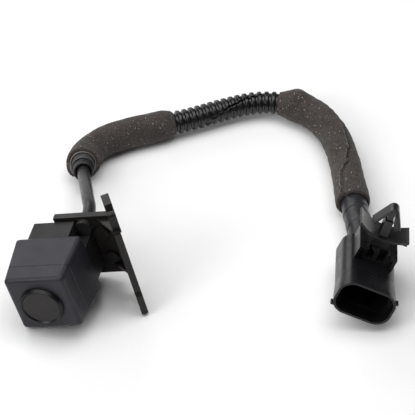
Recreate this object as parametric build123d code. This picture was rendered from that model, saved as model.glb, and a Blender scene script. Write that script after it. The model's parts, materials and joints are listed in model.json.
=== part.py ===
from build123d import *
import math
import os

# Backup camera with a side mounting bracket, a wrapped harness and a sealed four-way connector.
# Millimetres, +Z up. The object lies on the plane Z = 0 and the lens looks along -Y.
# The origin is at the middle of the foot of the camera and its bracket.

# ---- camera body, in its own frame: x across, y into the body from the front face, z up ----
camera_roll = 17.2            # degrees: the camera leans on one lower edge and the bracket's foot
face_x, face_y, face_z = -9.99, -17.84, 17.39
front_y = -0.85
front_box = (-12.83, 12.45, -13.18, 12.73)   # left, right, bottom and top at the front
back_box = (-14.33, 14.0, -14.17, 13.42)
case_depth = 21.94            # the taper ends here and the rim turns in
rim_y, rim_inset = 23.0, 0.7
case_corner_r = 1.9
case_wall = 1.8
cover_depth = 7.0             # where the front cover meets the main case
parting_chamfer = 0.32
board_size = 15.6

lens_x, lens_z = -0.5, -0.7   # the lens axis, a little below the middle of the case
sensor_y = 15.2
ring_r, ring_lip_r, ring_proud = 8.9, 8.1, 1.9
film_r, film_t = 7.5, 0.4
barrel_r, barrel_bore_r = 7.1, 5.3

rear_x0, rear_x1 = -10.3, 12.7
rear_half_h = 12.0
rear_y1 = 32.8
notch_x, notch_y, notch_z = 7.6, 24.0, 5.4
gland_x, gland_z, gland_end = 10.9, 9.1, 36.7
screw_z, screw_head_r, screw_r = 9.6, 1.7, 0.9

# ---- bracket ----
plate_t = 2.7
plate_x0, plate_y0 = -1.4, 33.5
plate_z0, plate_z1 = -16.6, 13.4
flange_turn, flange_tilt = 28.0, 2.6   # degrees round the camera's upright, then leaning out at the foot
flange_x, flange_y = 30.30, 19.57      # front edge at the height of the lens
flange_z0, flange_z1 = -25.9, 23.8
shoulder_z, ear_z = 15.7, -14.8
flange_w, ear_w = 20.0, 13.0
ear_front = -0.9
pad_z, pad_t = 15.4, 0.5      # the upper part of the flange is this much thicker
ear_hole_r = 2.75
slot_r, slot_t, slot_depth = 2.3, 6.6, 4.6
boss_x, boss_zs, boss_r = 17.5, (5.3, -7.7), 2.65
gland_hole_r = 3.25

# ---- harness ----
cable_r = 2.6
first_run = 5.4
sleeve_r, loom_r, loom_bore_r = 4.1, 4.7, 3.6
left_foam_r, right_foam_r = 6.3, 6.6
tape_r = 5.2
harness_route = [
    (-6.09, 34.21, 25.4),
    (-11.29, 49.01, 18.3),
    (-17.09, 64.91, 10.3),
    (-20.19, 75.91, 7),
    (-16.59, 86.21, 6.6),
    (-8.09, 94.21, 6.5),
    (3.91, 101.71, 6.5),
    (17.21, 109.91, 6.5),
    (29.21, 119.31, 6.5),
    (41.21, 126.91, 6.6),
    (54.01, 129.11, 6.7),
    (66.31, 125.81, 6.8),
    (76.41, 116.91, 6.8),
    (83.61, 104.31, 6.8),
    (89.11, 90.21, 7),
    (94.31, 74.71, 7.4),
    (99.51, 60.91, 8.1),
]
# stretches of the harness, as distances along it from the camera
sleeve_span = (50.8, 68.6)
left_tape_span = (57.3, 72.4)
left_foam_span = (60.0, 110.2)
loom_span = (72.8, 222.0)
right_foam_span = (155.6, 229.4)
right_tape_start, right_tape_gap = 222.4, 1.0

# ---- connector, in its own frame: x across, y back from the mouth, z up ----
mouth = (110.57, 15.87, 13.84)
plug_turn, plug_lift, plug_roll = 11.0, 8.0, 23.5
mouth_y = -2.0                # the hood's rim
hood_w, hood_h, hood_r = 24.2, 15.7, 6.2
body_w, body_h, body_r = 22.4, 14.5, 5.0
plug_length, cap_length = 31.0, 3.0
hood_wall, hood_step, hood_cavity = 0.9, 4.5, 19.0
rail_out, rail_wall, rail_lip = 8.15, 1.4, 2.9
rail_y0, rail_y1, rail_h = 15.0, 29.6, 5.6
clip_y1 = 25.2                # the back of the clip's base
wing_y0, wing_y1, wing_t = 17.0, 27.3, 1.0
wing_line = ((-12.4, 21.7), (-1.2, 17.7), (9.4, 20.6))
stud_x, stud_lean = -1.15, -6.0

parts = {}


def block(x0, x1, y0, y1, z0, z1):
    """A box between two corners."""
    return Pos((x0 + x1) / 2, (y0 + y1) / 2, (z0 + z1) / 2) * Box(x1 - x0, y1 - y0, z1 - z0)


def rod(radius, y0, y1, x=0.0, z=0.0):
    """A cylinder along y."""
    return Pos(x, (y0 + y1) / 2, z) * Rot(90, 0, 0) * Cylinder(radius, y1 - y0)


def ring(outer, inner, y0, y1, x=0.0, z=0.0):
    """A tube along y."""
    return rod(outer, y0, y1, x, z) - rod(inner, y0 - 1, y1 + 1, x, z)


def section(y, w, h, r):
    """A rounded rectangle facing along y."""
    return Plane(origin=(0, y, 0), x_dir=(1, 0, 0), z_dir=(0, -1, 0)) * RectangleRounded(w, h, r)


def rounded_bar(y0, y1, w, h, r, w1=None, h1=None, r1=None):
    """A bar along y with rounded long edges, which may taper."""
    return loft([section(y0, w, h, r), section(y1, w1 or w, h1 or h, r1 or r)])


def case_section(y, inset, depth=None):
    """The camera case's outline at y, moved in by inset. A depth takes the taper from there instead."""
    share = ((y if depth is None else depth) - front_y) / (case_depth - front_y)
    x0, x1, z0, z1 = (a + (b - a) * share for a, b in zip(front_box, back_box))
    outline = section(y, x1 - x0 - 2 * inset, z1 - z0 - 2 * inset, max(case_corner_r - inset, 0.5))
    return Pos((x0 + x1) / 2, 0, (z0 + z1) / 2) * outline


def case_bar(y0, y1, inset=0.0):
    """A stretch of the tapered camera case, moved in from its outside by inset."""
    return loft([case_section(y0, inset), case_section(y1, inset)])


def edges_at(shape, y):
    """The edges of shape that lie in the plane at y."""
    found = []
    for edge in shape.edges():
        box = edge.bounding_box()
        if abs(box.min.Y - y) < 0.01 and abs(box.max.Y - y) < 0.01:
            found.append(edge)
    return found


def cap(radius, y, bulge):
    """The outline of one lens face, from the axis to the radius."""
    if not bulge:
        return Line((0, y), (radius, y))
    return ThreePointArc((0, y + bulge), (radius * 0.53, y + bulge * 0.72), (radius, y))


def lens(radius, clear_r, y0, y1, front_bulge, back_bulge):
    """A lens about the y axis with a flat rim outside its clear radius."""
    front, back = cap(clear_r, y0, -front_bulge), cap(clear_r, y1, back_bulge)
    profile = make_face(Wire([
        front, Edge.make_line((clear_r, y0), (radius, y0)), Edge.make_line((radius, y0), (radius, y1)),
        Edge.make_line((radius, y1), (clear_r, y1)), back,
        Edge.make_line((0, y1 + back_bulge), (0, y0 - front_bulge))]))
    return revolve(profile, Axis.Y)


# ---------------------------------------------------------------- front cover and main case
cover = case_bar(front_y, cover_depth)
cover = fillet(edges_at(cover, front_y), 1.7)
cover = chamfer(edges_at(cover, cover_depth), parting_chamfer)
cover -= case_bar(front_y + 1.8, cover_depth + 0.2, case_wall)
cover += rod(9.2, front_y + 1.7, 5.2, lens_x, lens_z)
cover -= rod(barrel_r + 0.06, front_y - 1, 7, lens_x, lens_z)
cover -= ring(barrel_r + 1.1, barrel_r, front_y + 3.2, front_y + 4.4, lens_x, lens_z)
parts["front_cover"] = cover

case_screw_xz = [(-7.6, screw_z), (5.2, screw_z), (-7.6, -screw_z), (10.0, -screw_z)]
case = case_bar(cover_depth, case_depth)
case = chamfer(edges_at(case, cover_depth), parting_chamfer)
case += loft([case_section(case_depth, 0), case_section(rim_y, rim_inset, case_depth)])
case -= case_bar(cover_depth - 0.2, rim_y + 0.2, case_wall)
for x, z in case_screw_xz:
    wall_z = 12.0 if z > 0 else -12.8
    case += rod(1.6, 17.0, 20.0, x, z)
    case += block(x - 1.0, x + 1.0, 17.0, 20.0, min(z, wall_z), max(z, wall_z))
    case -= rod(screw_r + 0.05, 16.0, 21.0, x, z)
parts["main_case"] = case

seal_y0, seal_y1 = cover_depth - 0.9, cover_depth + 0.9
parts["cover_seal"] = (case_bar(seal_y0, seal_y1, case_wall + 0.02)
                       - case_bar(seal_y0 - 1, seal_y1 + 1, case_wall + 1.0))

# ---------------------------------------------------------------- lens, about its own axis from the front face
optics = {}
optics["lens_o_ring"] = revolve(Pos(barrel_r + 0.57, 3.8) * Circle(0.5), Axis.Y)
ring_profile = Polyline((barrel_r + 0.05, 0), (ring_r, 0), (ring_r, -0.5), (ring_lip_r + 0.25, -ring_proud),
                        (ring_lip_r, -ring_proud), (film_r + 0.06, -1.35), (film_r + 0.06, -1.05),
                        (barrel_r + 0.05, -1.05), close=True)
optics["lens_ring"] = revolve(make_face(ring_profile), Axis.Y)
optics["lens_film"] = rod(film_r, -1.05 - film_t, -1.05)

barrel = rod(barrel_r, -0.95, 13.0) - rod(barrel_bore_r, -2, 14) - rod(6.35, -2, 1.2)
for i in range(6):
    barrel -= ring(barrel_r + 1, barrel_r - 0.25, 7.6 + 0.85 * i, 7.95 + 0.85 * i)
optics["lens_barrel"] = barrel
optics["front_lens"] = lens(6.3, 5.8, 0.2, 1.2, 0.9, 0.0)
optics["middle_lens"] = lens(barrel_bore_r - 0.04, 4.1, 2.6, 4.2, 0.7, 0.5)
optics["rear_lens"] = lens(barrel_bore_r - 0.04, 4.1, 7.2, 9.0, 0.6, 0.9)
optics["lens_spacer_ring"] = ring(barrel_bore_r - 0.04, 4.3, 4.2, 7.2)

holder_end = sensor_y - front_y
holder = block(-7.6, 7.6, 9.6, holder_end, -7.6, 7.6) - rod(barrel_r + 0.06, 9, 13.02) - rod(5.0, 12, 13.9)
holder -= block(-5.2, 5.2, 13.6, holder_end + 0.1, -5.2, 5.2)
optics["lens_holder"] = holder
optics["ir_filter"] = block(-5.0, 5.0, 13.6, 14.05, -5.0, 5.0)
optics["image_sensor"] = block(-3.4, 3.4, holder_end - 0.9, holder_end, -2.9, 2.9)
for name, shape in optics.items():
    parts[name] = Pos(lens_x, front_y, lens_z) * shape

# ---------------------------------------------------------------- circuit boards
pillar_xz = [(x, z) for x in (-6.4, 6.4) for z in (-6.2, 6.2)]


def board(y0, y1):
    shape = rounded_bar(y0, y1, board_size, board_size, 1.0)
    for x, z in pillar_xz:
        shape -= rod(0.85, y0 - 1, y1 + 1, x, z)
    return shape


parts["sensor_board"] = board(sensor_y, sensor_y + 1.0)
parts["power_board"] = board(20.2, 21.2)
parts["board_spacers"] = Compound([ring(1.2, 0.85, 16.2, 20.2, x, z) for x, z in pillar_xz])
parts["board_screws"] = Compound([rod(1.2, 21.2, 21.9, x, z) + rod(0.8, 15.4, 21.2, x, z)
                                  for x, z in pillar_xz])
parts["board_connector"] = block(-4.5, 4.5, 16.2, 20.2, -1.6, 1.6)
parts["video_chip"] = block(-2.5, 2.5, 18.9, 20.2, 2.6, 7.0)
parts["shield_can"] = block(-6.8, -0.6, 21.2, 23.6, -4.8, 4.8) - block(-6.5, -0.9, 21.1, 23.3, -4.5, 4.5)
parts["wire_plug"] = block(1.4, 6.4, 21.2, 24.8, -4.2, 4.2)

# ---------------------------------------------------------------- rear housing
bracket_screw_xz = [(2.2, 0.0), (9.4, -4.0)]
rear = block(rear_x0, rear_x1, rim_y, rear_y1, -rear_half_h, rear_half_h)
rear = fillet(rear.edges().filter_by(Axis.Y), 1.2)
rear += case_bar(20.4, rim_y, case_wall + 0.06)
rear += block(rear_x0 - 0.9, rear_x0 + 2, rim_y, rim_y + 0.9, -rear_half_h + 1, rear_half_h - 0.6)
rear -= block(notch_x, 14, notch_y, rear_y1 + 1, notch_z, 13)
rear -= block(-8.2, 8.2, 20, 22.4, -8.2, 8.2)
rear -= block(-8.2, 6.6, 22, 29.5, -7.2, 7.2)
rear += rod(3.3, 31.2, rear_y1, gland_x, gland_z)
rear += block(gland_x - 2.4, gland_x + 1.8, 31.2, rear_y1, notch_z - 1, gland_z - 1)
rear -= rod(2.7, 31.8, rear_y1 + 1, gland_x, gland_z)
rear -= block(6.0, 11.2, 28.0, 29.5, 1.6, 4.4)
rear -= block(9.6, 11.4, 28.6, 32.3, 3.2, 4.4)
rear -= block(9.6, 11.4, 31.8, 32.3, 3.2, 6.8)
for x, z in case_screw_xz:
    rear -= rod(screw_r + 0.2, 19, 28, x, z)
    rear -= rod(screw_head_r + 0.2, 26.2, rear_y1 + 1, x, z)
for x, z in bracket_screw_xz:
    rear += rod(2.6, rear_y1, plate_y0, x, z)
    rear -= rod(1.05, 30.2, plate_y0 + 1, x, z)
rear += block(rear_x1 - 0.2, rear_x1 + 0.5, 23.3, 24.4, -1.5, -0.3)
parts["rear_housing"] = rear

parts["case_screws"] = Compound([
    rod(screw_head_r, 26.2, 27.5, x, z) + rod(screw_r, 16.6, 26.2, x, z) - rod(0.85, 26.8, 28, x, z)
    for x, z in case_screw_xz])

gland = rod(2.64, 32.35, rear_y1, gland_x, gland_z) + rod(3.2, rear_y1, rear_y1 + 0.7, gland_x, gland_z)
gland += Pos(gland_x, (rear_y1 + 0.7 + gland_end) / 2, gland_z) * Rot(-90, 0, 0) * Cone(
    3.1, 2.8, gland_end - rear_y1 - 0.7)
parts["cable_gland"] = gland

# ---------------------------------------------------------------- bracket
turn, tilt = math.radians(flange_turn), math.radians(flange_tilt)
normal = Vector(math.cos(turn) * math.cos(tilt), math.sin(turn) * math.cos(tilt), -math.sin(tilt))
flange_plane = Plane(origin=(flange_x, flange_y, 0), x_dir=(-math.sin(turn), math.cos(turn), 0),
                     z_dir=normal)
face_offset = normal.dot(Vector(flange_x, flange_y, 0))


def flange_middle_x(y, z):
    """How far across the middle of the flange lies at a depth and a height."""
    return (face_offset - normal.Y * y - normal.Z * z) / normal.X


outline = make_face(Polyline(
    (ear_front, flange_z0), (ear_w, flange_z0), (ear_w, ear_z), (flange_w, ear_z), (flange_w, shoulder_z),
    (17.0, shoulder_z), (17.0, flange_z1), (2.0, flange_z1), (2.0, shoulder_z), (0, shoulder_z),
    (0, ear_z), (ear_front, ear_z - 2), close=True))
outline = fillet([v for v in outline.vertices() if v.X > ear_w - 0.1 and v.Y < flange_z0 + 0.1], 6.0)
outline = fillet([v for v in outline.vertices() if v.Y > flange_z1 - 0.1], 1.6)
slot_bottom = flange_z1 - slot_depth + slot_r
outline -= Pos(slot_t, slot_bottom + 5) * Rectangle(2 * slot_r, 10)
outline -= Pos(slot_t, slot_bottom) * Circle(slot_r)
ear_hole_t, ear_hole_z = ear_w / 2, (flange_z0 + ear_z) / 2 + 0.2
outline -= Pos(ear_hole_t, ear_hole_z) * Circle(ear_hole_r)
flange = extrude(flange_plane * outline, plate_t / 2, both=True)
pad_outline = outline - Pos(10, pad_z - 30) * Rectangle(40, 60)
flange += extrude(flange_plane.offset(plate_t / 2) * pad_outline, pad_t)
flange -= extrude(flange_plane * (Pos(0, pad_z) * Rectangle(0.7, 0.5)), 3, both=True)

plate_outline = Polyline((plate_x0, plate_y0), (22.8, plate_y0), (21.4, plate_y0 + plate_t),
                         (plate_x0, plate_y0 + plate_t), close=True)
plate = Pos(0, 0, plate_z0) * extrude(make_face(plate_outline), plate_z1 - plate_z0, dir=(0, 0, 1))
plate -= rod(gland_hole_r, 30, 40, gland_x, gland_z)
for z0, z1, reach in ((10.4, 11.9, 25.3), (-13.1, -11.6, 28.4)):
    web = make_face(Polyline(
        (16.9, plate_y0), (flange_middle_x(reach, z0) - plate_t / 2 - 0.2, reach),
        (flange_middle_x(reach, z0), reach), (flange_middle_x(plate_y0 + 1, z0), plate_y0 + 1),
        (16.9, plate_y0 + 1), close=True))
    plate += Pos(0, 0, z0) * extrude(web, z1 - z0, dir=(0, 0, 1))
for z in boss_zs:
    plate += rod(boss_r, plate_y0 - 1.3, plate_y0 + 1, boss_x, z)
for x, z in bracket_screw_xz:
    plate -= rod(1.3, 33, 37, x, z)
parts["bracket"] = plate + flange

plate_back = plate_y0 + plate_t
parts["bracket_screws"] = Compound([
    rod(2.4, plate_back, plate_back + 1.5, x, z) + rod(1.0, 30.4, plate_back, x, z)
    - rod(1.0, plate_back + 0.7, plate_back + 2, x, z) for x, z in bracket_screw_xz])

# ---------------------------------------------------------------- where the camera and the connector lie
roll = math.radians(camera_roll)
camera_frame = Plane(origin=(face_x, face_y, face_z), x_dir=(math.cos(roll), 0, math.sin(roll)),
                     z_dir=(-math.sin(roll), 0, math.cos(roll)))
turned, lifted, leaned = (math.radians(a) for a in (plug_turn, plug_lift, plug_roll))
forward = Vector(math.sin(turned) * math.cos(lifted), -math.cos(turned) * math.cos(lifted),
                 math.sin(lifted))
level = Vector(math.cos(turned), math.sin(turned), 0)
upward = level.cross(forward * -1)
plug_x = level * math.cos(leaned) - upward * math.sin(leaned)
plug_z = level * math.sin(leaned) + upward * math.cos(leaned)
plug_frame = Plane(origin=mouth, x_dir=plug_x, z_dir=plug_z)

# ---------------------------------------------------------------- harness
cable_start = camera_frame.from_local_coords(Vector(gland_x, gland_end, gland_z))
cable_end = plug_frame.from_local_coords(Vector(0, plug_length + cap_length + 0.4, 0))
route = [cable_start, cable_start + Vector(0, first_run, 0)]
route += [Vector(*p) for p in harness_route] + [cable_end]
radii = []
for before, here, after in zip(route, route[1:], route[2:]):
    half_turn = math.radians((here - before).get_angle(after - here) / 2)
    shorter = min((here - before).length, (after - here).length)
    radii.append(0.45 * shorter / math.tan(half_turn))
path = Wire(FilletPolyline(*route, radius=radii).edges())
print("route", [tuple(round(v, 2) for v in p) for p in route])
print("bend radii", [round(r, 1) for r in radii])
print("cable length", round(path.length, 1))


def sheath(name, outer, inner, span=None):
    """A round sleeve along the harness between two distances from the cable's start."""
    way = path
    if span:
        way = path.trim(span[0] / path.length, span[1] / path.length)
    start = Plane(origin=way @ 0, z_dir=way % 0)
    ring_section = start * Circle(outer)
    if inner:
        ring_section -= start * Circle(inner)
    solid = sweep(ring_section, path=way)
    expected = math.pi * (outer ** 2 - inner ** 2) * way.length
    print(name, "volume over section times length", round(solid.volume / expected, 4))
    return solid


harness = {}
for name, outer, inner, span in (
        ("camera_cable", cable_r, 0, None),
        ("cable_sleeve", sleeve_r, 3.1, sleeve_span),
        ("tape_wrap_left", 4.9, 4.2, left_tape_span),
        ("foam_wrap_left", left_foam_r, 5.0, left_foam_span),
        ("corrugated_tube", loom_r, loom_bore_r, loom_span),
        ("foam_wrap_right", right_foam_r, 5.4, right_foam_span),
        ("tape_wrap_right", tape_r, 2.8, (right_tape_start, path.length - right_tape_gap))):
    harness[name] = sheath(name, outer, inner, span)

# ---------------------------------------------------------------- connector
plug = {}
top = body_h / 2
pin_x = [-6.0, -2.0, 2.0, 6.0]
hood = rounded_bar(mouth_y, 0.5, hood_w, hood_h, hood_r)
hood += rounded_bar(0.5, 9.0, hood_w, hood_h, hood_r, body_w + 0.6, body_h + 0.2, 5.4)
hood += rounded_bar(9.0, plug_length, body_w + 0.6, body_h + 0.2, 5.4, body_w, body_h, body_r)
hood -= rounded_bar(mouth_y - 1, hood_step, hood_w - 2 * hood_wall, hood_h - 2 * hood_wall, 5.4)
hood -= rounded_bar(hood_step - 1, hood_cavity, hood_w - 2 * hood_wall - 2.6, hood_h - 2 * hood_wall - 2.6, 4.2)
hood -= rounded_bar(24.0, plug_length + 1, 18.6, 10.6, 3.0)
for x in pin_x:
    hood -= block(x - 0.5, x + 0.5, hood_cavity - 1, 25, -0.9, 0.9)
for side in (-1, 1):
    for reach, z0 in ((rail_wall, top - 1.5), (rail_lip, top + rail_h - 1.4)):
        edges = sorted((side * rail_out, side * (rail_out - reach)))
        hood += block(*edges, rail_y0, rail_y1, z0, top + rail_h)
hood += block(-12.0, -10.4, mouth_y + 0.2, mouth_y + 2.6, -5.9, -4.9)
hood += block(10.2, 12.2, mouth_y + 0.2, mouth_y + 2.6, 4.3, 5.2)
plug["connector_housing"] = hood

plug["terminals"] = Compound([block(x - 0.4, x + 0.4, 10.5, 27.0, -0.32, 0.32) for x in pin_x])
lock = rounded_bar(15.4, 18.0, 16.6, 8.0, 2.4)
for x in pin_x:
    lock -= block(x - 0.8, x + 0.8, 15, 19, -0.8, 0.8)
plug["terminal_lock"] = lock
seal = rounded_bar(25.2, 28.0, 18.5, 10.5, 2.9)
rear_cap = rounded_bar(30.0, plug_length, 18.5, 10.5, 2.9)
rear_cap += rounded_bar(plug_length, plug_length + cap_length, body_w - 0.8, body_h - 0.8, 4.6, 17.0, 12.0, 4.6)
for x in pin_x:
    seal -= rod(0.9, 25, 28.5, x)
    rear_cap -= rod(0.9, 29, 30.6, x)
plug["wire_seal"] = seal
plug["lead_wires"] = Compound([rod(0.85, 27.0, 30.6, x) for x in pin_x])
plug["rear_cap"] = rear_cap

# The clip has a base that slides in the rails, a bowed spring plate and an arrow-shaped push-in stud.
base_x, neck_x = rail_out - rail_wall - 0.05, rail_out - rail_lip - 0.1
clip = block(-base_x, base_x, rail_y0 + 1.5, clip_y1, top + 0.15, top + rail_h - 1.5)
clip += block(-neck_x, neck_x, rail_y0 + 1.5, clip_y1, top + 2.0, top + rail_h)
clip += block(-4.4, 2.6, wing_y0 + 1.0, clip_y1 - 0.6, top + rail_h - 1, wing_line[1][1] + 0.6)
clip -= block(-neck_x + 1.2, -0.9, rail_y0, rail_y0 + 4.5, top + 1.2, top + rail_h + 1)
clip -= block(0.5, neck_x - 1.2, rail_y0, rail_y0 + 4.5, top + 1.2, top + rail_h + 1)
wedge = make_face(Polyline((-3.2, 13.5), (0.2, 13.7), (-0.2, 12.2), (-0.9, 11.0), (-1.6, 12.0), close=True))
clip += extrude(Plane(origin=(0, rail_y0 + 5.0, 0), x_dir=(1, 0, 0), z_dir=(0, -1, 0)) * wedge, 3.6)

(left_x, left_z), (low_x, low_z), (right_x, right_z) = wing_line
bow = make_face(Wire([
    ThreePointArc((left_x, left_z), (low_x, low_z), (right_x, right_z)),
    Edge.make_line((right_x, right_z), (right_x - 0.3, right_z + wing_t)),
    ThreePointArc((right_x - 0.3, right_z + wing_t), (low_x, low_z + wing_t), (left_x + 0.4, left_z + wing_t)),
    Edge.make_line((left_x + 0.4, left_z + wing_t), (left_x, left_z))]))
clip += extrude(Plane(origin=(0, wing_y1, 0), x_dir=(1, 0, 0), z_dir=(0, -1, 0)) * bow, wing_y1 - wing_y0)
clip += block(right_x - 2.6, right_x - 0.5, wing_y0, wing_y0 + 1.0, right_z - 1.3, right_z + 0.2)

# The stud's blade and bent strap, upright about the foot of the blade.
blade = block(-1.7, 1.7, 18.2, 22.6, -0.6, 8.3) + block(-1.25, 1.25, 18.9, 22.6, 8.0, 13.2)
bend = FilletPolyline((-5.6, 20.9, 5.3), (0.75, 20.9, 15.8), (5.13, 20.9, 5.6), radius=1.7)
strap_end = Plane(origin=bend @ 0, x_dir=(0, 1, 0), z_dir=bend % 0)
strap = sweep(strap_end * RectangleRounded(5.4, 1.1, 0.4), path=bend)
leg = make_face(Polyline((2.4, 11.6), (5.13, 5.6), (2.95, 4.9), (1.95, 10.9), close=True))
strap += extrude(Plane(origin=(0, 23.5, 0), x_dir=(1, 0, 0), z_dir=(0, -1, 0)) * leg, 5.2)
clip += Pos(stud_x, 0, low_z + 0.6) * Rot(0, stud_lean, 0) * (blade + strap)
plug["connector_clip"] = clip

# ---------------------------------------------------------------- export
placed = {name: camera_frame.location * shape for name, shape in parts.items()}
placed.update(harness)
placed.update({name: plug_frame.location * shape for name, shape in plug.items()})
os.makedirs("parts", exist_ok=True)
for name, shape in placed.items():
    export_step(shape, f"parts/{name}.step")
    print(name, "volume", round(shape.volume, 1), "solids", len(shape.solids()),
          "lowest", round(shape.bounding_box().min.Z, 2))
box = Compound([placed[name] for name in parts]).bounding_box()
print("camera and bracket", box.min, box.max)
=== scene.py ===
import json
import math
import bpy
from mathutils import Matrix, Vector, noise


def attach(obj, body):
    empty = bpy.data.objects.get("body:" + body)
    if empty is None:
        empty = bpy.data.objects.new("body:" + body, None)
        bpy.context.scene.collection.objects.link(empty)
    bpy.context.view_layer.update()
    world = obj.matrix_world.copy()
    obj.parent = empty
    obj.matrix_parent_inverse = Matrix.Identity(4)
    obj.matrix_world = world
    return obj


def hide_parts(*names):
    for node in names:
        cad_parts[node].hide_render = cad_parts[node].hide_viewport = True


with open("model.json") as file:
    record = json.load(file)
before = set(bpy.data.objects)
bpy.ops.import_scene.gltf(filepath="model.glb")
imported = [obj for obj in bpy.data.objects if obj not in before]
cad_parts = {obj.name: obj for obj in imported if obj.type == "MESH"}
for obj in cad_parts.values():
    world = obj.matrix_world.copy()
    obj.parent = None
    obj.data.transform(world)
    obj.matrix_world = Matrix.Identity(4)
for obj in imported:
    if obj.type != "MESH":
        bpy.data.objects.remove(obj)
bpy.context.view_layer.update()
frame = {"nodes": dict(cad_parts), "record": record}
MM = 0.001
nodes = frame["nodes"]

# The harness's route, the points that the CAD tube runs between, in metres. They are given one by one, apart
# from the first two and the last, which the gland and the plug give.
route = [Vector(p) for p in (
    (-0.00227, 0.01886, 0.02931), (-0.00227, 0.02426, 0.02931), (-0.00609, 0.03421, 0.02540),
    (-0.01129, 0.04901, 0.01830), (-0.01709, 0.06491, 0.01030), (-0.02019, 0.07591, 0.00700),
    (-0.01659, 0.08621, 0.00660), (-0.00809, 0.09421, 0.00650), (0.00391, 0.10171, 0.00650),
    (0.01721, 0.10991, 0.00650), (0.02921, 0.11931, 0.00650), (0.04121, 0.12691, 0.00660),
    (0.05401, 0.12911, 0.00670), (0.06631, 0.12581, 0.00680), (0.07641, 0.11691, 0.00680),
    (0.08361, 0.10431, 0.00680), (0.08911, 0.09021, 0.00700), (0.09431, 0.07471, 0.00740),
    (0.09951, 0.06091, 0.00810), (0.10407, 0.04931, 0.00905))]
cad_cable_length = 0.2574  # of the CAD tube, whose corners are arcs inside these points
cable_r = 2.6 * MM


def add(name, data):
    """An object in the scene that shows this data."""
    piece = bpy.data.objects.new(name, data)
    bpy.context.scene.collection.objects.link(piece)
    return piece


# ---------------------------------------------------------------- materials
finishes = {}


def shade(colour, factor):
    return tuple(c * factor for c in colour)


class Shader:
    """A Principled material whose colour, roughness and bump come from procedural nodes. finishes keeps it
    under its name."""

    noise_low, noise_high = 0.3, 0.7  # nearly all of a noise's values lie between these
    coat_rough = 0.2

    def __init__(self, name, rough, specular=0.5, coat=0.0, metallic=0.0):
        self.material = bpy.data.materials.new(name)
        self.material.use_nodes = True
        self.tree = self.material.node_tree
        self.shader = self.tree.nodes["Principled BSDF"]
        self.shader.inputs["Roughness"].default_value = rough
        self.shader.inputs["Specular IOR Level"].default_value = specular
        self.shader.inputs["Coat Weight"].default_value = coat
        self.shader.inputs["Coat Roughness"].default_value = self.coat_rough
        self.shader.inputs["Metallic"].default_value = metallic
        self.place = self.tree.nodes.new("ShaderNodeTexCoord").outputs["Object"]
        self.bump_end = None
        finishes[name] = self.material

    def link(self, a, b):
        self.tree.links.new(a, b)

    def noise(self, size_mm, detail=3.0, stretch=None):
        """Noise whose features are about size_mm across."""
        place = self.place
        if stretch:
            mapping = self.tree.nodes.new("ShaderNodeMapping")
            mapping.inputs["Scale"].default_value = stretch
            self.link(place, mapping.inputs["Vector"])
            place = mapping.outputs["Vector"]
        node = self.tree.nodes.new("ShaderNodeTexNoise")
        node.inputs["Scale"].default_value = 1.0 / (size_mm * MM)
        node.inputs["Detail"].default_value = detail
        self.link(place, node.inputs["Vector"])
        return node.outputs["Fac"]

    def cells(self, size_mm):
        """Distance from the middles of scattered cells about size_mm across."""
        node = self.tree.nodes.new("ShaderNodeTexVoronoi")
        node.inputs["Scale"].default_value = 1.0 / (size_mm * MM)
        self.link(self.place, node.inputs["Vector"])
        return node.outputs["Distance"]

    def ramp(self, value, stops):
        """Colours against a value: stops are (position, (r, g, b))."""
        node = self.tree.nodes.new("ShaderNodeValToRGB")
        elements = node.color_ramp.elements
        while len(elements) < len(stops):
            elements.new(0.5)
        for element, (position, colour) in zip(elements, stops):
            element.position = position
            element.color = (*colour, 1.0)
        self.link(value, node.inputs["Fac"])
        return node.outputs["Color"]

    def tones(self, value, colour, low, high, edge=0.3):
        """The colour times low where the value is edge, to times high where it is 1 - edge."""
        return self.ramp(value, ((edge, shade(colour, low)), (1 - edge, shade(colour, high))))

    def spread(self, value, low, high):
        """A noise's values spread out from low to high."""
        node = self.tree.nodes.new("ShaderNodeMapRange")
        node.inputs["From Min"].default_value = self.noise_low
        node.inputs["From Max"].default_value = self.noise_high
        node.inputs["To Min"].default_value = low
        node.inputs["To Max"].default_value = high
        self.link(value, node.inputs["Value"])
        return node.outputs["Result"]

    def mix(self, share, a, b):
        node = self.tree.nodes.new("ShaderNodeMix")
        node.data_type = "RGBA"
        self.link(share, node.inputs["Factor"])
        self.link(a, node.inputs["A"])
        self.link(b, node.inputs["B"])
        return node.outputs["Result"]

    def colour(self, output):
        self.link(output, self.shader.inputs["Base Color"])

    def roughness(self, output):
        self.link(output, self.shader.inputs["Roughness"])

    def bump(self, height, depth_mm):
        """Bump on top of any that the material already has."""
        node = self.tree.nodes.new("ShaderNodeBump")
        node.inputs["Strength"].default_value = 1.0
        node.inputs["Distance"].default_value = depth_mm * MM
        self.link(height, node.inputs["Height"])
        if self.bump_end:
            self.link(self.bump_end, node.inputs["Normal"])
        self.bump_end = node.outputs["Normal"]
        self.link(self.bump_end, self.shader.inputs["Normal"])


def moulded(name, colour, rough, grain_mm, depth_mm, wear=1.25, specular=0.5):
    """Moulded plastic: a fine spark-eroded grain, slow tone changes and scuffed patches."""
    m = Shader(name, rough, specular=specular)
    slow = m.noise(size_mm=14.0, detail=4.0)
    fine = m.noise(size_mm=grain_mm, detail=2.0)
    m.colour(m.mix(fine, m.tones(slow, colour, low=0.88, high=1.1, edge=0.35),
                   m.tones(slow, colour, low=0.96, high=wear, edge=0.35)))
    m.roughness(m.spread(m.noise(size_mm=5.0, detail=5.0), low=rough - 0.06, high=rough + 0.07))
    m.bump(fine, depth_mm)


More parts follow.
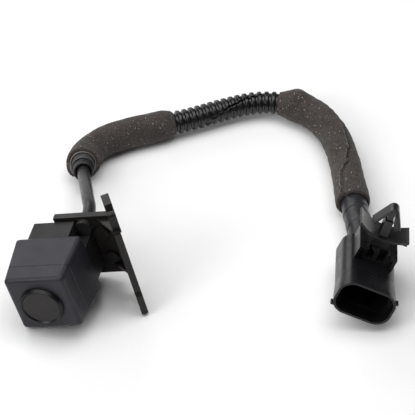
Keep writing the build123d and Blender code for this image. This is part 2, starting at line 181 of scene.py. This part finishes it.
def foam(name, colour):
    """Felted foam wrap: open fibres, darker pits and a scatter of pale specks."""
    m = Shader(name, rough=0.92, specular=0.18)
    m.shader.inputs["Sheen Weight"].default_value = 0.1
    m.shader.inputs["Sheen Roughness"].default_value = 0.6
    tone = m.ramp(m.noise(size_mm=4.5, detail=6.0),
                  ((0.3, shade(colour, 0.6)), (0.5, colour), (0.72, shade(colour, 1.4))))
    grain = m.ramp(m.noise(size_mm=0.5, detail=3.0),
                   ((0.32, shade(colour, 0.3)), (0.5, shade(colour, 0.95)), (0.68, shade(colour, 2.3))))
    body = m.mix(m.spread(m.noise(size_mm=1.8, detail=3.0), low=0.4, high=0.8), tone, grain)
    pale = m.ramp(m.noise(size_mm=1.2, detail=2.0), ((0.3, (0.62, 0.58, 0.54)), (0.7, (0.30, 0.27, 0.25))))
    speck = m.ramp(m.noise(size_mm=0.7, detail=1.0), ((0.715, (0, 0, 0)), (0.745, (1, 1, 1))))
    m.colour(m.mix(speck, body, pale))
    m.bump(m.noise(size_mm=0.45, detail=5.0), depth_mm=0.22)
    m.bump(m.noise(size_mm=3.5, detail=3.0), depth_mm=0.35)


def vinyl(name, colour, rough, specular, ripple_mm):
    """Wound tape or a smooth sleeve: satin, with faint stretch marks."""
    m = Shader(name, rough, specular=specular)
    m.colour(m.tones(m.noise(size_mm=3.0, detail=4.0), colour, low=0.8, high=1.25))
    m.roughness(m.spread(m.noise(size_mm=1.6, detail=4.0), low=rough - 0.08, high=rough + 0.1))
    m.bump(m.noise(size_mm=1.4, detail=3.0), ripple_mm)
    m.bump(m.noise(size_mm=0.25, detail=2.0), depth_mm=0.008)


def metal(name, colour, rough):
    """Metal with a brushed grain along one axis."""
    m = Shader(name, rough, metallic=1.0)
    m.colour(m.tones(m.noise(size_mm=1.5, detail=4.0), colour, low=0.8, high=1.1))
    m.roughness(m.spread(m.noise(size_mm=0.6, detail=3.0), low=rough - 0.08, high=rough + 0.1))
    m.bump(m.noise(size_mm=0.4, detail=3.0, stretch=(1.0, 6.0, 1.0)), depth_mm=0.01)


def glass(name, colour):
    """Clear glass with a faint tint."""
    m = Shader(name, rough=0.04, specular=0.6)
    m.shader.inputs["Transmission Weight"].default_value = 0.9
    m.colour(m.tones(m.noise(size_mm=6.0), colour, low=1.0, high=0.9))


def board_mask(name):
    """A circuit board's green mask over its tracks."""
    m = Shader(name, rough=0.35, coat=0.4)
    tracks = m.ramp(m.cells(size_mm=1.6), ((0.35, (0.02, 0.10, 0.05)), (0.5, (0.03, 0.17, 0.08))))
    ground = m.ramp(m.noise(size_mm=4.0), ((0.3, (0.02, 0.12, 0.06)), (0.7, (0.03, 0.15, 0.07))))
    m.colour(m.mix(m.noise(size_mm=0.8, detail=3.0), tracks, ground))
    m.bump(m.cells(size_mm=1.6), depth_mm=0.03)


moulded("case_plastic", (0.0225, 0.0225, 0.0285), rough=0.36, grain_mm=0.30, depth_mm=0.010, specular=0.24)
moulded("rear_plastic", (0.017, 0.0165, 0.017), rough=0.42, grain_mm=0.35, depth_mm=0.012, specular=0.2)
moulded("bracket_plastic", (0.0125, 0.0108, 0.0100), rough=0.34, grain_mm=0.45, depth_mm=0.008, specular=0.24)
moulded("ring_plastic", (0.004, 0.004, 0.0045), rough=0.34, grain_mm=0.8, depth_mm=0.003, wear=1.1,
        specular=0.3)
moulded("film_plastic", (0.021, 0.0180, 0.0185), rough=0.42, grain_mm=0.6, depth_mm=0.006, wear=1.15,
        specular=0.24)
glass("lens_glass", (0.8, 0.85, 0.9))
metal("metal_black", (0.05, 0.05, 0.05), rough=0.4)
metal("steel", (0.5, 0.5, 0.51), rough=0.35)
metal("brass", (0.55, 0.45, 0.26), rough=0.35)
board_mask("board")
moulded("chip", (0.012, 0.012, 0.012), rough=0.6, grain_mm=0.2, depth_mm=0.01)
moulded("seal_rubber", (0.016, 0.016, 0.016), rough=0.6, grain_mm=0.5, depth_mm=0.01)
vinyl("cable_jacket", (0.019, 0.018, 0.0187), rough=0.34, specular=0.3, ripple_mm=0.012)
moulded("loom_plastic", (0.0085, 0.0085, 0.009), rough=0.27, grain_mm=0.5, depth_mm=0.004, wear=1.2)
foam("foam", (0.050, 0.0413, 0.037))
vinyl("tape", (0.023, 0.022, 0.025), rough=0.34, specular=0.32, ripple_mm=0.05)
# The left tape's finish: the tape's colour made lighter, a painted lit look, and glossier.
vinyl("left_tape_painted_lit", (0.06, 0.058, 0.06), rough=0.3, specular=0.7, ripple_mm=0.012)
# Pale foam for the strip along the seam's lapped edge: partly the paler cut edge, partly a painted highlight
# where the edge catches light.
foam("seam_edge_and_highlight", (0.13, 0.115, 0.10))
moulded("skin", (0.20, 0.185, 0.17), rough=0.8, grain_mm=0.5, depth_mm=0.05, wear=1.6)
moulded("connector_plastic", (0.006, 0.0056, 0.0068), rough=0.3, grain_mm=0.5, depth_mm=0.001, wear=1.2,
        specular=0.33)
moulded("lock_plastic", (0.11, 0.07, 0.045), rough=0.5, grain_mm=0.4, depth_mm=0.008)
moulded("clip_plastic", (0.013, 0.012, 0.012), rough=0.3, grain_mm=0.4, depth_mm=0.003, wear=1.2)


def paint(piece, finish):
    piece.data.materials.clear()
    piece.data.materials.append(finishes[finish])


node_finishes = {entry["node"]: entry["material_slot"] for entry in frame["record"]["subparts"]}
node_finishes["rear_housing"] = "rear_plastic"  # a little darker than the rest of the case
for name, node in nodes.items():
    paint(node, node_finishes[name])


# ---------------------------------------------------------------- the harness's line
def spline(name, points):
    """A smooth curve with these control points."""
    curve = bpy.data.curves.new(name, "CURVE")
    curve.dimensions = "3D"
    path = curve.splines.new("NURBS")
    path.points.add(len(points) - 1)
    for end, point in zip(path.points, points):
        end.co = (*point, 1.0)
    path.order_u = 3
    path.use_endpoint_u = True
    curve.resolution_u = 24
    return add(name, curve)


class Line:
    """The harness's centreline, read from its spline before that is thickened: places and directions by
    distance in mm."""

    look = 0.7  # mm to either side, over which a direction is taken

    def __init__(self, piece):
        mesh = bpy.data.meshes.new_from_object(piece)
        self.points = [vertex.co.copy() for vertex in mesh.vertices]
        bpy.data.meshes.remove(mesh)
        self.lengths = [0.0]
        for a, b in zip(self.points, self.points[1:]):
            self.lengths.append(self.lengths[-1] + (b - a).length / MM)
        self.total = self.lengths[-1]

    def place(self, s):
        """The point at s mm from the camera, running straight on past either end."""
        s_in = min(max(s, 0.0), self.total)
        low, high = 0, len(self.lengths) - 1
        while high - low > 1:
            middle = (low + high) // 2
            if self.lengths[middle] <= s_in:
                low = middle
            else:
                high = middle
        a, b = self.points[low], self.points[high]
        share = (s_in - self.lengths[low]) / (self.lengths[high] - self.lengths[low])
        return a.lerp(b, share) + (b - a).normalized() * (s - s_in) * MM

    def frame(self, s):
        """The point at s with the directions along, aside (level) and up."""
        along = (self.place(s + self.look) - self.place(s - self.look)).normalized()
        aside = along.cross(Vector((0, 0, 1))).normalized()
        return self.place(s), along, aside, aside.cross(along)

    def span(self, distance):
        """A distance along the CAD tube as one along this line."""
        return distance * self.total / (cad_cable_length / MM)


def between(stops, s):
    """A value that runs smoothly between (distance, value) stops."""
    if s <= stops[0][0]:
        return stops[0][1]
    for (s0, v0), (s1, v1) in zip(stops, stops[1:]):
        if s < s1:
            share = (s - s0) / (s1 - s0)
            share = share * share * (3 - 2 * share)
            return v0 + (v1 - v0) * share
    return stops[-1][1]


def tube_faces(rows, around, slit):
    """The faces over rows of points, each row an outer ring and then an inner one, with the ends closed.
    A slit tube's rings have one more point than they have faces, and its slit's two sides are closed too."""
    columns = around + 1 if slit else around
    row = 2 * columns
    faces = []
    for j in range(rows - 1):
        a, b = j * row, (j + 1) * row
        for i in range(around):
            k = (i + 1) % columns
            faces.append((a + i, a + k, b + k, b + i))
            faces.append((a + columns + k, a + columns + i, b + columns + i, b + columns + k))
        if slit:
            faces.append((a, b, b + columns, a + columns))
            faces.append((a + columns + around, b + columns + around, b + around, a + around))
    end = (rows - 1) * row
    for i in range(around):
        k = (i + 1) % columns
        faces.append((i, columns + i, columns + k, k))
        faces.append((end + i, end + k, end + columns + k, end + columns + i))
    return faces


def wrap(name, line, distances, around, outer, inner, gap=None, skew=None):
    """A tube along the line. outer and inner give radii in mm by distance and angle; gap gives the middle
    and the width of a slit in radians, by distance; skew moves a point along the line, in mm."""
    columns = around + 1 if gap else around
    vertices = []
    for s in distances:
        middle, along, aside, up = line.frame(s)
        slit, width = gap(s) if gap else (0.0, 0.0)
        start, sweep = slit + width / 2, math.tau - width
        for radius in (outer, inner):
            for i in range(columns):
                angle = start + sweep * i / around
                spoke = aside * math.cos(angle) + up * math.sin(angle)
                forward = along * skew(s, angle) if skew else Vector()
                vertices.append(middle + (spoke * radius(s, angle) + forward) * MM)
    mesh = bpy.data.meshes.new(name)
    mesh.from_pydata(vertices, [], tube_faces(len(distances), around, slit=bool(gap)))
    mesh.update()
    mesh.shade_smooth()
    return add(name, mesh)


def steps(start, end, size, lips=0.0):
    """Distances from start to end, four times closer together within lips of either end."""
    rounding = 1e-6
    found, s = [], start
    while s < end - rounding:
        found.append(s)
        near_end = min(s - start, end - s) < lips
        s += size / 4 if near_end else size
    return found + [end]


def rounded_end(s, start, end, reach, drop):
    """How far the surface falls away, in mm, within reach of either end."""
    depth = min(s - start, end - s)
    if depth >= reach:
        return 0.0
    share = 1 - depth / reach
    return drop * (1 - math.sqrt(max(1 - share * share, 0.0)))


def fading(s, start, reach):
    """1 at start, down to 0 at reach mm from it."""
    return max(0.0, 1 - (s - start) / reach)


def lumps(s, angle, size, seed):
    """Gentle unevenness between about -0.5 and 0.5 over a tube's surface, in lumps about size mm across."""
    r, seed_gap = 6, 37.0
    return noise.noise(Vector((math.cos(angle) * r / size, math.sin(angle) * r / size,
                               s / size + seed * seed_gap)))


def swollen(size, s, angle, seed):
    """A foam wrap's size with its slow swells and small dents, in mm."""
    swell, dent = 0.34, 0.2
    size += swell * lumps(s, angle, size=9.0, seed=seed)
    return size + dent * lumps(s, angle, size=2.5, seed=seed + 1)


cable = spline("camera_lead", route)
line = Line(cable)
cable.data.bevel_depth = cable_r
cable.data.bevel_resolution = 8
cable.data.use_fill_caps = True
cable.data.materials.append(finishes["cable_jacket"])

# Below, distances along the harness and radii are in mm, and angles round it in radians.

# ---------------------------------------------------------------- sleeve and tape at the camera's end
sleeve_start, sleeve_end = line.span(50.6), line.span(68.6)
sleeve_r, sleeve_bore_r = 4.15, 3.2
sleeve_slit, sleeve_slit_width = -1.75, 0.75


def sleeve_outer(s, angle):
    end = rounded_end(s, sleeve_start, sleeve_end, reach=0.35, drop=0.3)
    return sleeve_r - end + 0.08 * lumps(s, angle, size=3.0, seed=1)


def sleeve_inner(s, angle):
    return sleeve_bore_r + rounded_end(s, sleeve_start, sleeve_end, reach=0.3, drop=0.2)


sleeve = wrap("inner_sleeve", line, steps(sleeve_start, sleeve_end, size=0.8, lips=0.6), around=56,
              outer=sleeve_outer, inner=sleeve_inner, gap=lambda s: (sleeve_slit, sleeve_slit_width))

left_tape_start, left_tape_end = line.span(55.2), line.span(72.4)
left_tape_r, left_tape_bore_r = 4.68, 4.24
left_tape_turn, left_tape_lap, left_tape_flare = 7.0, 0.05, 0.12


def left_tape_outer(s, angle):
    turns = (s / left_tape_turn - angle / math.tau) % 1.0
    flare = left_tape_flare * fading(s, left_tape_start, reach=2.0)
    end = rounded_end(s, left_tape_start, left_tape_end, reach=0.3, drop=0.2)
    return left_tape_r + left_tape_lap * turns + flare - end


left_tape = wrap("left_tape", line, steps(left_tape_start, left_tape_end, size=0.5, lips=0.6), around=64,
                 outer=left_tape_outer, inner=lambda s, angle: left_tape_bore_r)

# ---------------------------------------------------------------- left foam wrap
left_foam_start, left_foam_end = line.span(59.6), line.span(108.4)
left_foam_size = ((left_foam_start, 6.95), (left_foam_start + 4, 6.65), (left_foam_start + 14, 6.35),
                  (left_foam_end - 12, 6.35), (left_foam_end - 4.5, 6.2), (left_foam_end, 5.3))
left_foam_bore_r, left_foam_flare = 5.0, 0.45
left_foam_slit = math.radians(268)
left_foam_slit_width = ((left_foam_start, 1.15), (left_foam_start + 13, 0.12))
lobes = ((math.radians(214), 2.7), (math.radians(318), 1.4))  # angle and length of each
lobe_reach = 9.0


def left_foam_outer(s, angle):
    end = rounded_end(s, left_foam_start, left_foam_end, reach=0.8, drop=0.7)
    return swollen(between(left_foam_size, s), s, angle, seed=2) - end


def left_foam_inner(s, angle):
    mouth = fading(s, left_foam_start, reach=3.0)
    return left_foam_bore_r + left_foam_flare * mouth + 0.2 * lumps(s, angle, size=3.0, seed=4) * mouth


def left_foam_gap(s):
    return left_foam_slit, between(left_foam_slit_width, s)


def left_foam_skew(s, angle):
    """The cut end runs out into two lobes either side of the opening underneath."""
    depth = fading(s, left_foam_start, lobe_reach)
    out = sum(length * max(math.cos(angle - middle) ** 3, 0.0) for middle, length in lobes)
    return -depth * out + 0.35 * depth * lumps(s, angle, size=4.0, seed=12)


left_foam = wrap("left_foam", line, steps(left_foam_start, left_foam_end, size=0.7, lips=1.2), around=84,
                 outer=left_foam_outer, inner=left_foam_inner, gap=left_foam_gap, skew=left_foam_skew)

# The foam's thin inner skin shows as a second edge inside its mouth.
skin_start, skin_end = left_foam_start - 0.35, left_foam_start + 7.0
skin_r, skin_taper, skin_taper_reach, skin_thickness = 5.42, 0.35, 4.0, 0.32


def skin_outer(s, angle):
    taper = skin_taper * min((s - skin_start) / skin_taper_reach, 1.0)
    return skin_r - taper + 0.14 * lumps(s, angle, size=1.6, seed=5)


left_skin = wrap("left_foam_skin", line, steps(skin_start, skin_end, size=0.5), around=84,
                 outer=skin_outer, inner=lambda s, angle: skin_outer(s, angle) - skin_thickness,
                 gap=left_foam_gap, skew=left_foam_skew)

# ---------------------------------------------------------------- right foam wrap
right_foam_start, right_foam_end = line.span(155.4), line.span(229.6)
right_foam_size = ((right_foam_start, 4.95), (right_foam_start + 7, 6.45), (right_foam_start + 18, 6.25),
                   (right_foam_start + 45, 6.3), (right_foam_end - 14, 6.6), (right_foam_end - 2, 7.05),
                   (right_foam_end, 7.1))
right_foam_bore_r, right_foam_flare = 4.8, 0.7
right_seam = ((right_foam_start, 2.9), (right_foam_start + 22, 2.3), (right_foam_end - 30, 1.85),
              (right_foam_end - 19, 1.46), (right_foam_end - 12.5, 0.92), (right_foam_end, 0.84))
right_lap = ((right_foam_start, 0.0), (right_foam_start + 10, 0.3), (right_foam_end, 0.75))
seam_waver, seam_waver_length = 0.16, 2.2
lap_rise, lap_sink = 0.5, 0.3
lip_height, lip_fade = 0.7, 26
groove_depth, groove_fade, groove_full_lap = 1.15, 44, 0.3
corner_height, corner_place, corner_reach, corner_angle = 1.5, 7.5, 4.2, 1.8
strip_start, strip_end, strip_depth = right_foam_start + 14, right_foam_end - 0.3, 0.5


def right_seam_angle(s):
    """The angle of the seam at s, which wavers a little."""
    return between(right_seam, s) + seam_waver * noise.noise(Vector((s / seam_waver_length, 5.0, 1.0)))


def right_foam_outer(s, angle):
    """The wrap's free edge lies over its start, with a raised lip, a groove beside it and, near the tube,
    a lifted corner."""
    turn = ((right_seam_angle(s) - angle) / math.tau) % 1.0
    lap = between(right_lap, s)
    edge = lap * (lip_height * math.exp(-turn * lip_fade) + lap_rise * (1 - turn) - lap_sink)
    groove = -groove_depth * math.exp(-((1 - turn) * groove_fade) ** 2) * min(lap / groove_full_lap, 1.0)
    near_corner = math.exp(-((s - right_foam_start - corner_place) / corner_reach) ** 2)
    corner = corner_height * near_corner * max(math.cos(angle - corner_angle), 0.0)
    end = rounded_end(s, right_foam_start, right_foam_end, reach=0.9, drop=0.8)
    return swollen(between(right_foam_size, s), s, angle, seed=6) + edge + groove + corner - end


def right_foam_inner(s, angle):
    mouth = max(0.0, 1 - (right_foam_end - s) / 5.0)
    return right_foam_bore_r + right_foam_flare * mouth + 0.25 * lumps(s, angle, size=3.0, seed=8) * mouth


right_foam = wrap("right_foam", line, steps(right_foam_start, right_foam_end, size=0.7, lips=1.2),
                  around=120, outer=right_foam_outer, inner=right_foam_inner)


def seam_strip(name, shift, width, lift):
    """A narrow strip laid along the seam, shift radians round from it. The rest of the turn is its slit."""
    return wrap(name, line, steps(strip_start, strip_end, size=0.45), around=3,
                outer=lambda s, angle: right_foam_outer(s, angle) + lift,
                inner=lambda s, angle: right_foam_outer(s, angle) - strip_depth,
                gap=lambda s: (right_seam_angle(s) + shift + math.pi, math.tau - width))


# A dark strip laid along the seam in the seal rubber's finish: painted shadow of the groove beside the lap.
seam_shadow = seam_strip("right_foam_seam_painted_shadow", shift=0.05, width=0.07, lift=0.02)
# A pale strip on the lap's edge beside it: partly the paler cut edge, partly a painted highlight.
seam_edge_and_highlight = seam_strip("right_foam_edge", shift=-0.02, width=0.03, lift=0.05)

# ---------------------------------------------------------------- corrugated tube
loom_start, loom_end = line.span(72.8), line.span(222.0)
loom_pitch, loom_root_r, loom_wall = 3.0, 3.95, 0.5
rib_height = ((line.span(112), 0.95), (line.span(140), 0.8))
rib_steepness, rib_fullness = 3.2, 0.5
loom_slit = ((line.span(108), -1.0), (line.span(120), -0.5), (line.span(127), 0.35), (line.span(134), 0.95),
             (line.span(142), 1.35), (line.span(152), 1.7))
loom_slit_width = 0.17


def loom_outer(s, angle):
    wave = math.tanh(rib_steepness * math.cos(math.tau * s / loom_pitch) + rib_fullness)
    crest = 0.5 + 0.5 * wave / math.tanh(rib_steepness + rib_fullness)
    return loom_root_r + between(rib_height, s) * crest


loom = wrap("loom", line, steps(loom_start, loom_end, size=loom_pitch / 14), around=60,
            outer=loom_outer, inner=lambda s, angle: loom_outer(s, angle) - loom_wall,
            gap=lambda s: (between(loom_slit, s), loom_slit_width))

# ---------------------------------------------------------------- tape at the plug's end
right_tape_start, right_tape_end = line.span(222.4), line.total - 0.8
right_tape_size = ((right_tape_start, 5.1), (right_foam_end + 3, 5.2), (right_foam_end + 9, 5.35),
                   (right_tape_end - 8, 5.2), (right_tape_end, 4.9))
right_tape_bore_r = 2.85
right_tape_turn, right_tape_lap, lap_drop = 8.5, 0.26, 0.06  # lap_drop is the share of a turn it drops over


def right_tape_outer(s, angle):
    turns = (s / right_tape_turn + angle / math.tau) % 1.0
    lap = right_tape_lap * turns if turns < 1 - lap_drop else right_tape_lap * (1 - turns) / lap_drop
    return between(right_tape_size, s) + lap + 0.22 * lumps(s, angle, size=4.0, seed=9)


right_tape = wrap("right_tape", line, steps(right_tape_start, right_tape_end, size=0.35), around=96,
                  outer=right_tape_outer, inner=lambda s, angle: right_tape_bore_r)

# ---------------------------------------------------------------- the harness's pieces in the part
# each piece's CAD node, material slot and finish
harness = {
    sleeve: ("cable_sleeve", "tape", "tape"),
    # the left tape: its tape colour painted lighter, as if lit
    left_tape: ("tape_wrap_left", "tape", "left_tape_painted_lit"),
    left_foam: ("foam_wrap_left", "foam", "foam"),
    left_skin: ("foam_wrap_left", "foam", "skin"),
    right_foam: ("foam_wrap_right", "foam", "foam"),
    # the seam's dark strip: painted shadow, in the seal rubber's dark finish
    seam_shadow: ("foam_wrap_right", "foam", "seal_rubber"),
    seam_edge_and_highlight: ("foam_wrap_right", "foam", "seam_edge_and_highlight"),
    loom: ("corrugated_tube", "loom_plastic", "loom_plastic"),
    right_tape: ("tape_wrap_right", "tape", "tape"),
}
for piece, (node, slot, finish) in harness.items():
    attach(piece, "camera")
    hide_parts(node)
    paint(piece, finish)
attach(cable, "camera")
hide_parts("camera_cable")

# ---------------------------------------------------------------- floor, light and camera, in metres
floor_half = 2.5
harness_middle = (0.04, 0.05, 0)
world_strength = 0.08
azimuth, elevation = 13.7, 43.9  # degrees: round from the lens's side to the right, and above the table
camera_place = (0.24497, -0.79439, 0.8526)
sensor_mm, focal_mm = 36.0, 260.2
nearest_seen = 0.05


def stage():
    mesh = bpy.data.meshes.new("floor")
    corners = [(x * floor_half, y * floor_half, 0) for x, y in ((-1, -1), (1, -1), (1, 1), (-1, 1))]
    mesh.from_pydata(corners, [], [(0, 1, 2, 3)])
    floor = add("floor", mesh)
    m = Shader("floor_paper", rough=0.9, specular=0.1)
    paper = ((0.3, (0.93, 0.93, 0.93)), (0.7, (0.95, 0.95, 0.95)))
    m.colour(m.ramp(m.noise(size_mm=60.0, detail=3.0), paper))
    floor.data.materials.append(m.material)


def area_light(name, place, target, size, power):
    light = bpy.data.lights.new(name, "AREA")
    light.shape = "RECTANGLE"
    light.size, light.size_y = size
    light.energy = power
    lamp = add(name, light)
    lamp.location = place
    lamp.rotation_euler = (Vector(target) - Vector(place)).to_track_quat("-Z", "Y").to_euler()


stage()
area_light("key", place=(-0.5, -0.1, 1.15), target=harness_middle, size=(1.3, 1.1), power=9.0)
area_light("overhead", place=(0.25, 0.25, 1.3), target=(0.04, 0.07, 0), size=(1.0, 1.0), power=8.5)
area_light("back_left", place=(-0.7, 0.9, 0.55), target=harness_middle, size=(0.9, 0.7), power=4.0)
area_light("front_left", place=(-0.66, -0.78, 0.72), target=(0, 0, 0), size=(0.6, 0.5), power=5.0)

world = bpy.data.worlds.new("studio")
world.use_nodes = True
background = world.node_tree.nodes["Background"]
background.inputs["Color"].default_value = (1, 1, 1, 1)
background.inputs["Strength"].default_value = world_strength
bpy.context.scene.world = world
bpy.context.scene.view_settings.view_transform = "Standard"

camera_data = bpy.data.cameras.new("camera")
camera_data.sensor_width = sensor_mm
camera_data.lens = focal_mm
camera_data.clip_start = nearest_seen
camera = add("camera", camera_data)
camera.location = camera_place
camera.rotation_euler = (math.radians(90 - elevation), 0, math.radians(azimuth))
bpy.context.scene.camera = camera
